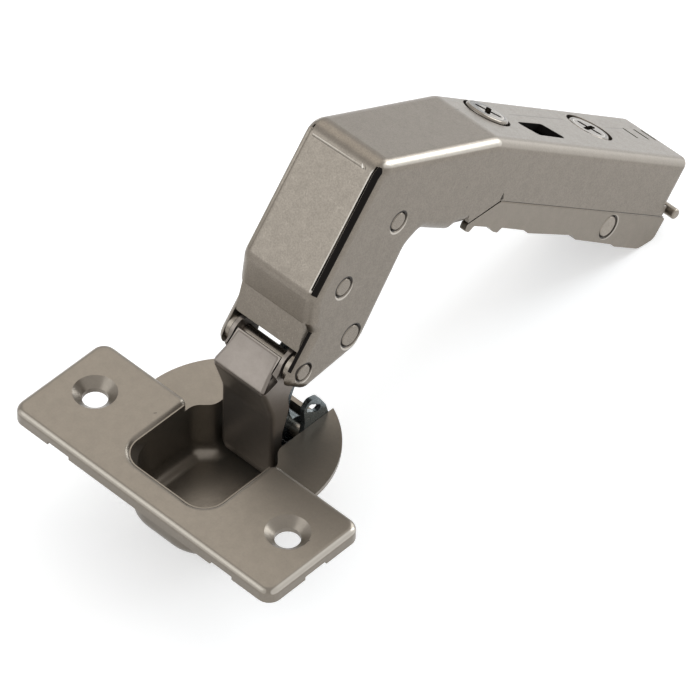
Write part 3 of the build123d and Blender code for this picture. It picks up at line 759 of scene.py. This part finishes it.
@dataclass
class Cup:
    """The pressed cup with its flange, pins, spacers and springs, in millimetres."""

    # Where the painted highlights run along the flange's edges.
    edge_level: float = 2.46
    front_edge: float = -21.41
    front_half: float = 28.5
    side_edge: float = 29.86
    side_span: Pair = (-20.5, -1.0)
    face_level: float = 2.8
    pits: tuple[tuple[Pair, Pair], ...] = (((-12.0, -6.0), (-11.8, -5.7)), ((26.2, -8.5), (26.3, -8.4)))
    zinc: MetalFinish = MetalFinish(
        "blue_zinc",
        light=(0.24, 0.27, 0.28),
        dark=(0.10, 0.12, 0.125),
        grain=0.8,
        smooth=0.2,
        rough=0.4,
        metallic=0.9,
    )
    wire: MetalFinish = MetalFinish(
        "spring_wire",
        light=(0.3, 0.3, 0.3),
        dark=(0.15, 0.15, 0.15),
        smooth=0.2,
        rough=0.35,
        metallic=0.95,
    )
    pin: MetalFinish = MetalFinish(
        "cup_pin_nickel",
        light=(0.30, 0.27, 0.23),
        dark=(0.22, 0.195, 0.165),
        smooth=0.26,
        rough=0.38,
        metallic=0.85,
    )

    def flange_edge(self, start: Pair, end: Pair, **look: object) -> Mark:
        """Draws a painted highlight along the flange's edge.

        Args:
            start: Where it starts, as x and y in millimetres.
            end: Where it ends.
            **look: The line's half width, strength and tone.

        Returns:
            The line.
        """
        level = self.edge_level
        return Mark(row_point(*start, level), row_point(*end, level), sunk=0.0, **look)

    def nickel_finish(self) -> MetalFinish:
        """Works out the cup's finish with painted highlights along its edges, two pits and painted shade
        lower down.

        Returns:
            The finish.
        """
        half, front, side = self.front_half, self.front_edge, self.side_edge
        near, far = self.side_span
        dim = (0.5, 0.46, 0.4)
        edge = self.flange_edge
        pits = tuple((row_point(*a, self.face_level), row_point(*b, self.face_level)) for a, b in self.pits)
        return MetalFinish(
            "cup_nickel",
            grain=0.35,
            metallic=0.75,
            marks=(
                # Painted highlights along the flange's front and side edges.
                edge((-half, front), (half, front), half_width=0.45, strength=0.45, tone=dim),
                edge((side, near), (side, far), half_width=0.5, strength=0.65, tone=GLEAM),
                edge((-side, near), (-side, far), half_width=0.4, strength=0.35, tone=dim),
                Mark(*pits[0], half_width=0.12, strength=0.5),
                Mark(*pits[1], half_width=0.14, strength=0.6),
            ),
            # Painted shade that darkens the cup towards the floor of its recess.
            depth=DepthTone(high=2.2, low=-9.0, share=0.12),
        )

    def dress(self, dresser: Dresser) -> None:
        """Dresses the cup's nodes.

        Args:
            dresser: The helper that sets finishes.
        """
        dresser.dress(self.nickel_finish(), "hinge_cup")
        dresser.dress(self.zinc, "spring_housing", "link_spacer_left", "link_spacer_right")
        dresser.dress(self.wire, "closing_spring", "release_spring")
        dresser.dress(self.pin, "outer_link_pin", "inner_link_pin")


@dataclass
class Links:
    """The two links that fold the hinge, in millimetres."""

    knee: Pair = (1.4, 14.7)
    top: Pair = (6.75, 19.3)
    thickness: float = 1.0
    proud: float = 0.1
    knee_gap: float = 0.1
    top_half: float = 4.8
    middle_half: float = 5.25
    knee_half: float = 5.75
    flare_start: float = 2.8
    level_reach: float = 0.3
    edge_round: float = 0.55
    plate: MetalFinish = MetalFinish(
        "link_nickel",
        light=(0.22, 0.193, 0.17),
        dark=(0.19, 0.165, 0.144),
        grain=0.3,
        smooth=0.27,
        rough=0.36,
        metallic=0.8,
    )
    bar: MetalFinish = MetalFinish(
        "inner_link_zinc",
        light=(0.22, 0.25, 0.26),
        dark=(0.10, 0.12, 0.125),
        smooth=0.2,
        rough=0.36,
        metallic=0.9,
    )

    def dress(self, dresser: Dresser) -> None:
        """Dresses the links.

        Args:
            dresser: The helper that sets finishes.
        """
        plate = dresser.dress(self.plate, "outer_link")
        dresser.dress(self.bar, "inner_link")
        self.flare_web(plate)

    def flare_web(self, material: bpy.types.Material) -> None:
        """Covers the upper web with a plate that flares towards the knee.

        Args:
            material: The outer link's material.
        """
        knee, top = Vector((0.0, *self.knee)), Vector((0.0, *self.top))
        way = (top - knee).normalized()
        out = Vector((0.0, -way.z, way.y))
        length = (top - knee).length - self.knee_gap
        middle = knee + way * (length / 2 + self.knee_gap) - out * (self.thickness / 2 - self.proud)
        size = (length, 2 * self.top_half, self.thickness)
        piece = Bench.block("outer_link_web", middle * MM, way, out, size)
        cut = knee + way * self.flare_start
        Bench.pick(piece, lambda co: True)
        bpy.ops.mesh.bisect(plane_co=tuple(cut * MM), plane_no=tuple(way))
        for level, half in ((0.0, self.knee_half), (self.flare_start, self.middle_half)):
            bpy.ops.object.mode_set(mode="OBJECT")
            Bench.pick(piece, lambda co, at=level: abs((co / MM - knee).dot(way) - at) < self.level_reach)
            flare = (half / self.top_half, 1.0, 1.0)
            bpy.ops.transform.resize(value=flare, center_override=(0.0, 0.0, 0.0))
        bpy.ops.object.mode_set(mode="OBJECT")
        Bench.bevel(piece, self.edge_round, 4)
        Bench.finish(piece, material, Body.OUTER_LINK, "link")


@dataclass
class Arm:
    """The folded casing with its rivets, bushes and screws, in millimetres."""

    half_width: float = 8.5
    top: float = 45.8
    front: float = -8.0
    # Span across the pivots of the slit beside the front plate, painted dark as shade.
    cut_edge: Pair = (7.22, 8.12)
    # Where the painted highlights run along the rolled edges.
    rolled_half: float = 7.95
    rolled_path: tuple[Pair, Pair, Pair] = ((-6.6, 39.0), (24.4, 45.3), (89.0, 45.3))
    screws: tuple[Pair, Pair] = ((-2.2, 34.0), (-1.25, 67.5))
    head_level: float = 45.5
    head_radius: float = 3.5
    # Widths of the painted shade and highlight rings on the screw heads.
    ring_width: float = 0.3
    gleam_width: float = 0.25
    # The painted shadow sickle in the first screw's recess.
    recess_at: Pair = (-1.1, 34.7)
    recess_radii: Pair = (3.4, 3.2)
    # Pins as u, n and radius, with painted shade and highlight rims round them.
    pins: tuple[Triple, ...] = (
        (5.0, 29.2, 1.68),
        (-1.2, 16.3, 1.68),
        (8.45, 7.43, 2.03),
        (0.0, 0.0, 1.53),
    )
    # Reach, starts and shifts of the painted shade and highlight rims round the pins.
    rim_reach: float = 0.42
    gleam_start: float = 0.4
    shade_start: float = -0.1
    shade_shift: Pair = (-0.2, 0.12)
    gleam_shift: Pair = (0.22, -0.34)
    seam_long: tuple[Pair, Pair] = ((32.7, 35.83), (88.7, 35.83))
    seam_short: tuple[Pair, Pair] = ((25.99, 30.88), (33.0, 36.0))
    seam_width: float = 2.06
    seam_thickness: float = 0.8
    seam_proud: float = 0.004
    seam_edge: float = 0.12
    fold_side: float = -7.25
    fold_depth: float = 0.57
    fold_span: Pair = (14.3, 37.5)
    fold_width: float = 0.95
    fold_thickness: float = 1.2
    fold_round: float = 0.3
    rivet: MetalFinish = MetalFinish(
        "rivet_nickel",
        light=(0.245, 0.214, 0.18),
        dark=(0.2, 0.175, 0.146),
        smooth=0.22,
        rough=0.32,
        metallic=0.95,
    )

    def turned_rings(self, at: Triple) -> tuple[Crescent, Crescent]:
        """Works out the painted rings on a screw's head.

        Args:
            at: The head's middle, in metres.

        Returns:
            A painted shade ring with a painted highlight ring inside it.
        """
        outer = self.head_radius
        between = outer - self.ring_width
        return (
            Crescent(at, outer, at, between, SHADE, strength=0.75),
            Crescent(at, between, at, between - self.gleam_width, GLEAM, strength=0.6),
        )

    def screw_finish(self) -> MetalFinish:
        """Works out the screws' finish, with painted rings on both heads and a painted shadow sickle in the
        first one's recess.

        Returns:
            The finish.
        """
        first, second = (arm_point(*place, self.head_level) for place in self.screws)
        recess = arm_point(*self.recess_at, self.head_level)
        outer, inner = self.recess_radii
        return MetalFinish(
            "screw_nickel",
            light=(0.25, 0.222, 0.19),
            dark=(0.17, 0.15, 0.128),
            smooth=0.2,
            rough=0.32,
            metallic=0.95,
            crescents=(
                *self.turned_rings(first),
                *self.turned_rings(second),
                Crescent(first, outer, recess, inner, SHADE, strength=0.85),
            ),
        )

    def scribed_marks(self) -> tuple[Mark, ...]:
        """Works out the scribed lines, nicks and pits, the painted highlights on the raised lines and a
        nick, and the painted highlight along the front fold's edge.

        Returns:
            The marks.
        """
        top, front, cheek = self.top, self.front, self.half_width
        # The pale tone is a painted highlight: on the raised lines, which are also bumped up, and along the
        # front fold's edge.
        burnish = (0.55, 0.51, 0.46)
        raised, flush = {"tone": burnish, "sunk": -1.0}, {"tone": burnish, "sunk": 0.0}
        line = Mark.on_arm
        pit, cheek_pit = (6.69, 10.01, 40.9), (cheek, 20.26, 36.75)
        return (
            line((-2.73, 42.14, top), (-3.41, 61.58, top), half_width=0.09, strength=0.75),
            line((-1.87, 74.28, top), (-2.54, 81.1, top), half_width=0.09, strength=0.75),
            line((-6.3, front, 36.41), (5.27, front, 36.65), half_width=0.09, strength=0.55),
            line((-6.3, front, 36.7), (5.0, front, 36.95), half_width=0.08, strength=0.4, **raised),
            line((4.47, front, 37.3), (4.9, front, 36.75), half_width=0.16, strength=0.7, **raised),
            line((5.1, front, 37.35), (5.56, front, 36.8), half_width=0.12, strength=0.6),
            line((-2.43, 24.28, top), (-2.2, 24.9, top), half_width=0.14, strength=0.6),
            line(pit, pit, half_width=0.18, strength=0.5),
            line(cheek_pit, cheek_pit, half_width=0.16, strength=0.6),
            line((6.98, front, 37.6), (6.98, front, 14.4), half_width=0.28, strength=0.7, **flush),
        )

    def rolled_edges(self) -> tuple[Mark, ...]:
        """Works out the painted highlights along the casing's long rolled edges.

        Returns:
            The lines on both sides.
        """
        lines = []
        for side in (-1, 1):
            nose, fold, tail = ((self.rolled_half * side, *place) for place in self.rolled_path)
            # Painted highlights along the rolled edges, paler from the nose to the fold.
            pale = (0.62, 0.58, 0.52)
            lines.append(Mark.on_arm(nose, fold, half_width=0.62, strength=0.5, tone=pale, sunk=0.0))
            lines.append(Mark.on_arm(fold, tail, half_width=0.75, strength=0.2, tone=GLEAM, sunk=0.0))
        return tuple(lines)

    def pin_rims(self) -> tuple[Crescent, ...]:
        """Works out the painted shade and painted highlight rims round the pins in the visible cheek.

        Returns:
            Two sickles for each pin.
        """
        rims = []
        for u, n, radius in self.pins:
            at = arm_point(self.half_width, u, n)
            shade = arm_point(self.half_width, u + self.shade_shift[0], n + self.shade_shift[1])
            gleam = arm_point(self.half_width, u + self.gleam_shift[0], n + self.gleam_shift[1])
            reach = radius + self.rim_reach
            rims.append(Crescent(gleam, reach, at, radius + self.gleam_start, GLEAM, strength=0.7))
            rims.append(Crescent(shade, reach, at, radius + self.shade_start, SHADE, strength=0.9))
        return tuple(rims)

    def casing_finish(self) -> MetalFinish:
        """Works out the casing's finish with its marks and painted highlights, the painted shade and
        highlight rims round the pins, and painted shade in the slit beside the front plate and in the
        window.

        Returns:
            The finish.
        """
        return MetalFinish(
            "casing_nickel",
            light=(0.228, 0.2, 0.167),
            dark=(0.182, 0.159, 0.133),
            grain=1.0,
            grain_size=3600.0,
            marks=(*self.scribed_marks(), *self.rolled_edges()),
            crescents=self.pin_rims(),
            # Painted shade: the slit along the front plate's right edge, in two parts, and the window.
            dark_edges=(
                Slab(x=self.cut_edge, u=(self.front - 1.0, -6.9), n=(13.9, 38.2)),
                Slab(x=self.cut_edge, u=(-5.2, -2.6), n=(-0.6, 7.2)),
                Slab(x=WINDOW_X, u=WINDOW_U, n=(40.0, 45.72)),
            ),
        )

    def square_seam(self, material: bpy.types.Material) -> None:
        """Squares the casing's lower edge above the channel's band, on both sides.

        Args:
            material: The casing's material.
        """
        for side, label in ((-1, "left"), (1, "right")):
            x = side * (self.half_width + self.seam_proud - self.seam_thickness / 2)
            for ((u0, n0), (u1, n1)), part in ((self.seam_long, "long"), (self.seam_short, "short")):
                start, end = Vector(arm_point(x, u0, n0)), Vector(arm_point(x, u1, n1))
                out = Vector((side, 0.0, 0.0))
                name = f"seam_{part}_{label}"
                piece = Bench.strip(name, start, end, out, self.seam_width, self.seam_thickness)
                middle, up = (start + end) / 2, arm_way(0.0, n0 - n1, u1 - u0)
                Bench.pick(piece, lambda co, at=middle, way=up: (co - at).dot(way) < 0.0)
                bpy.ops.mesh.bevel(offset=self.seam_edge * MM, segments=2, affect="EDGES")
                bpy.ops.object.mode_set(mode="OBJECT")
                Bench.finish(piece, material, Body.ARM, "casing")

    def close_left_fold(self, material: bpy.types.Material) -> None:
        """Closes the fold between the front plate and the left cheek, which shows no cut edge.

        Args:
            material: The casing's material.
        """
        u = self.front + self.fold_depth
        low, high = (Vector(arm_point(self.fold_side, u, n)) for n in self.fold_span)
        out = arm_way(0.0, -1.0, 0.0)
        piece = Bench.strip("front_fold_left", low, high, out, self.fold_width, self.fold_thickness)
        Bench.bevel(piece, self.fold_round, 3)
        Bench.finish(piece, material, Body.ARM, "casing")

    def dress(self, dresser: Dresser) -> None:
        """Dresses the arm's nodes.

        Args:
            dresser: The helper that sets finishes.
        """
        casing = dresser.dress(self.casing_finish(), "arm_casing")
        self.square_seam(casing)
        self.close_left_fold(casing)
        dresser.dress(
            self.rivet,
            "nose_pin",
            "inner_arm_pin",
            "upper_rivet",
            "middle_rivet",
            "nose_washer_left",
            "nose_washer_right",
            "inner_bush_left",
            "inner_bush_right",
        )
        dresser.dress(self.screw_finish(), "side_screw", "depth_cam")


@dataclass
class Channel:
    """The mounting channel with its release lever, in millimetres."""

    band_half: float = 8.42
    bead_span: Pair = (33.5, 89.6)
    bead_level: float = 34.53
    bead_height: float = 0.42
    bead_depth: float = 0.6
    bead_round: float = 0.08
    # The release rivet's place, and the painted shade and highlight rims round it.
    rivet_at: Triple = (8.45, 85.07, -4.07)
    gleam_at: Triple = (8.45, 85.3, -4.3)
    shade_radii: Pair = (2.4, 1.9)
    gleam_radii: Pair = (2.55, 2.45)
    lever: MetalFinish = MetalFinish(
        "lever_nickel",
        light=(0.33, 0.29, 0.245),
        dark=(0.25, 0.22, 0.185),
        smooth=0.26,
        rough=0.38,
        metallic=0.8,
    )

    def sheet_finish(self) -> MetalFinish:
        """Works out the channel's finish with the painted shade and highlight rims round the release rivet,
        and painted shade in the window.

        Returns:
            The finish.
        """
        at, gleam = row_point(*self.rivet_at), row_point(*self.gleam_at)
        shade_outer, shade_inner = self.shade_radii
        gleam_outer, gleam_inner = self.gleam_radii
        return MetalFinish(
            "channel_nickel",
            grain=0.45,
            # Painted shade rim and painted highlight rim round the release rivet.
            crescents=(
                Crescent(at, shade_outer, at, shade_inner, SHADE, strength=0.85),
                Crescent(gleam, gleam_outer, at, gleam_inner, GLEAM, strength=0.4),
            ),
            # Painted shade where the window shows the channel.
            dark_edges=(Slab(x=WINDOW_X, u=WINDOW_U, n=(40.0, 44.0)),),
        )

    def lay_beads(self, material: bpy.types.Material) -> None:
        """Lays the drawn edge of the channel's band into the seam, on both sides.

        Args:
            material: The channel's material.
        """
        for side, label in ((-1, "left"), (1, "right")):
            x = side * (self.band_half - self.bead_depth / 2)
            start, end = (Vector(arm_point(x, u, self.bead_level)) for u in self.bead_span)
            out = Vector((side, 0.0, 0.0))
            piece = Bench.strip(f"seam_bead_{label}", start, end, out, self.bead_height, self.bead_depth)
            Bench.bevel(piece, self.bead_round, 2)
            Bench.finish(piece, material, Body.CHANNEL, "channel")

    def dress(self, dresser: Dresser) -> None:
        """Dresses the channel's nodes.

        Args:
            dresser: The helper that sets finishes.
        """
        sheet = dresser.dress(self.sheet_finish(), "mounting_channel")
        self.lay_beads(sheet)
        dresser.dress(self.lever, "release_lever", "release_rivet")


@dataclass(frozen=True)
class Lamp:
    """A soft square lamp that points at the hinge: angles in degrees, lengths in metres, power in watts."""

    name: str
    azimuth: float
    elevation: float
    size: float
    power: float
    colour: Triple = COOL_LIGHT
    reach: float = 1.3
    target: Triple = (0.0, 0.03, 0.02)

    def hang(self) -> None:
        """Adds the lamp."""
        data = bpy.data.lights.new(self.name, "AREA")
        data.shape = "SQUARE"
        data.size = self.size
        data.energy = self.power
        data.color = self.colour
        az, el = math.radians(self.azimuth), math.radians(self.elevation)
        way = Vector((math.sin(az) * math.cos(el), -math.cos(az) * math.cos(el), math.sin(el)))
        lamp = bpy.data.objects.new(self.name, data)
        bpy.context.scene.collection.objects.link(lamp)
        lamp.location = Vector(self.target) + way * self.reach
        lamp.rotation_euler = way.to_track_quat("Z", "Y").to_euler()


@dataclass
class Studio:
    """Camera, lamps, world and floor, with the camera's place in degrees and millimetres."""

    azimuth: float = 42.64
    elevation: float = 46.54
    roll: float = 1.44
    right_offset: float = 26.51
    up_offset: float = 18.49
    distance: float = 1127.9
    focal_pixels: float = 6785.0
    frame_pixels: float = 700.0
    sensor: float = 36.0
    far_clip: float = 20000.0
    line_shift: Triple = (0.0, -9.5, 2.8)
    lamps: tuple[Lamp, ...] = (
        Lamp("key_softbox", azimuth=-32.0, elevation=34.0, size=0.9, power=3.6),
        Lamp("back_softbox", azimuth=172.0, elevation=24.0, size=0.9, power=12.0),
        Lamp("left_softbox", azimuth=-130.0, elevation=52.0, size=0.8, power=1.6, colour=WARM_LIGHT),
    )
    horizon: Pair = (-0.1, 0.9)
    sky: Pair = (0.4, 0.6)
    floor_level: float = -16.2
    floor_size: float = 6000.0
    paper: Triple = (0.86, 0.86, 0.86)
    paper_glow: float = 0.45

    def axes(self) -> tuple[Vector, Vector, Vector]:
        """Works out the camera's right, up and back directions.

        Returns:
            The three directions.
        """
        az, el, roll = (math.radians(v) for v in (self.azimuth, self.elevation, self.roll))
        back = Vector((math.sin(az) * math.cos(el), -math.cos(az) * math.cos(el), math.sin(el)))
        right = Vector((math.cos(az), math.sin(az), 0.0))
        up = back.cross(right)
        turned_right = right * math.cos(roll) + up * math.sin(roll)
        turned_up = up * math.cos(roll) - right * math.sin(roll)
        return turned_right, turned_up, back

    def place_camera(self) -> None:
        """Adds the camera at the photograph's place."""
        right, up, back = self.axes()
        data = bpy.data.cameras.new("camera")
        data.sensor_width = self.sensor
        data.lens = self.sensor * self.focal_pixels / self.frame_pixels
        data.clip_end = self.far_clip * MM
        camera = bpy.data.objects.new("camera", data)
        bpy.context.scene.collection.objects.link(camera)
        at = right * self.right_offset + up * self.up_offset + back * self.distance + Vector(self.line_shift)
        matrix = Matrix((right, up, back)).transposed().to_4x4()
        matrix.translation = at * MM
        camera.matrix_world = matrix
        bpy.context.scene.camera = camera

    def fill_world(self) -> None:
        """Sets a pale world that is white to the camera and in reflections."""
        world = bpy.data.worlds.new("studio")
        bpy.context.scene.world = world
        s = NodeSheet.on(world)
        parts = s.add("ShaderNodeSeparateXYZ")
        s.feed(parts.inputs[0], s.add("ShaderNodeTexCoord").outputs["Generated"])
        lift = s.step(parts.outputs[2], *self.horizon, *self.sky)
        background = s.add("ShaderNodeBackground")
        s.feed(background.inputs["Color"], WHITE)
        s.feed(background.inputs["Strength"], s.math("MAXIMUM", lift, s.seen()))
        output = s.add("ShaderNodeOutputWorld")
        s.feed(output.inputs[0], background.outputs[0])

    def lay_floor(self) -> None:
        """Adds a plain pale floor that keeps the hinge's shadow."""
        bpy.ops.object.select_all(action="DESELECT")
        bpy.ops.mesh.primitive_plane_add(size=self.floor_size * MM, location=(0, 0, self.floor_level * MM))
        floor = bpy.context.object
        floor.name = "studio_floor"
        material = bpy.data.materials.new("floor_paper")
        s = NodeSheet.on(material)
        paper = s.add("ShaderNodeBsdfDiffuse")
        s.feed(paper.inputs["Color"], (*self.paper, 1.0))
        glow = s.add("ShaderNodeEmission")
        s.feed(glow.inputs["Color"], WHITE)
        s.feed(glow.inputs["Strength"], s.math("MULTIPLY", s.seen(), self.paper_glow))
        both = s.add("ShaderNodeAddShader")
        s.feed(both.inputs[0], paper.outputs[0])
        s.feed(both.inputs[1], glow.outputs[0])
        output = s.add("ShaderNodeOutputMaterial")
        s.feed(output.inputs[0], both.outputs[0])
        floor.data.materials.append(material)

    def build(self) -> None:
        """Sets the whole studio up."""
        self.place_camera()
        for lamp in self.lamps:
            lamp.hang()
        self.fill_world()
        self.lay_floor()
        bpy.context.scene.view_settings.view_transform = "Standard"


def main() -> None:
    """Builds the looks in order and reports them."""
    logging.basicConfig(level=logging.INFO, format="%(name)s: %(message)s")
    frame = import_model()
    bpy.ops.object.select_all(action="DESELECT")
    effects = Effects()
    dresser = Dresser(frame["nodes"], effects)
    Studio().build()
    for assembly in (Cup(), Links(), Arm(), Channel()):
        assembly.dress(dresser)
        log.info("%s is done", type(assembly).__name__)
    bare = sorted(set(frame["nodes"]) - dresser.done)
    log.info("nodes without a finish: %s", bare)


if __name__ == "__main__":
    main()
